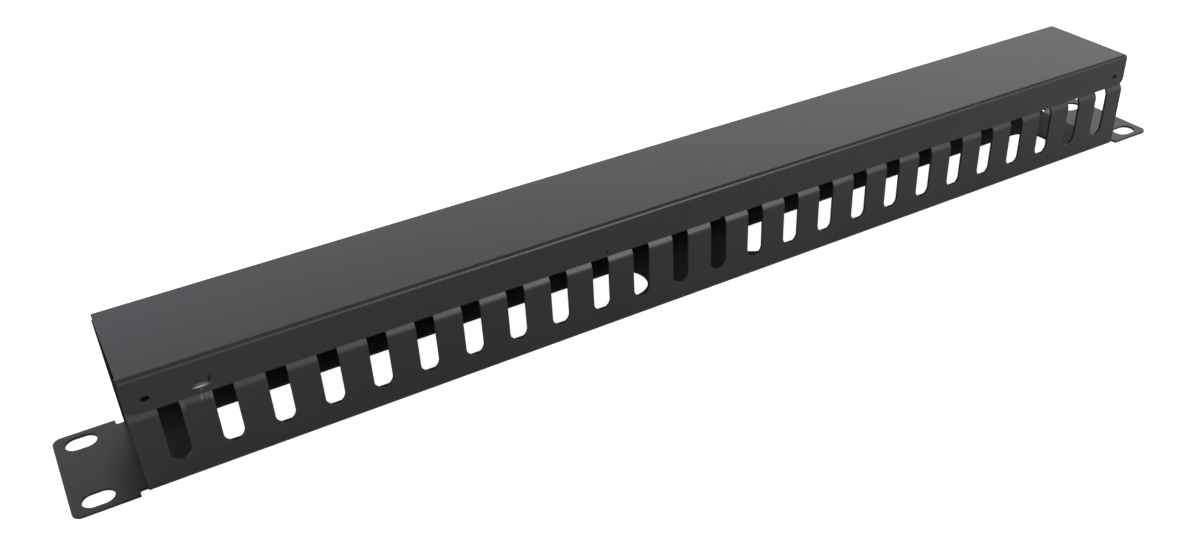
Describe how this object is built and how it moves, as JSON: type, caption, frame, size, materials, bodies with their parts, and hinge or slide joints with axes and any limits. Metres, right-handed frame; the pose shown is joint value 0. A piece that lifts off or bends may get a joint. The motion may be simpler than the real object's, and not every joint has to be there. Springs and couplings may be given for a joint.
{
  "type": "rack cable organizer",
  "caption": "Rack cable organizer: a folded sheet metal duct with slotted finger walls, rear cable openings, slotted mounting ears and a lift-off cover.",
  "frame": {"origin": "middle of the back plate's rear face, which is the face that meets the rack's rails", "axes": "+X across the rack along the duct, +Y up the rack, +Z out of the rack's front, through the cover. As in the picture, the organizer lies on its back."},
  "size_m": [0.4826, 0.0444, 0.0445],
  "materials": {
    "black_powder_coat": "satin"
  },
  "bodies": {
    "channel": {"finger_channel": "black_powder_coat"},
    "cover": {"cover": "black_powder_coat"}
  },
  "joints": [
    {"name": "cover_lift", "type": "slide", "parent": "channel", "child": "cover", "axis": [0, 0, 1], "range_m": [0, 0.06]}
  ]
}
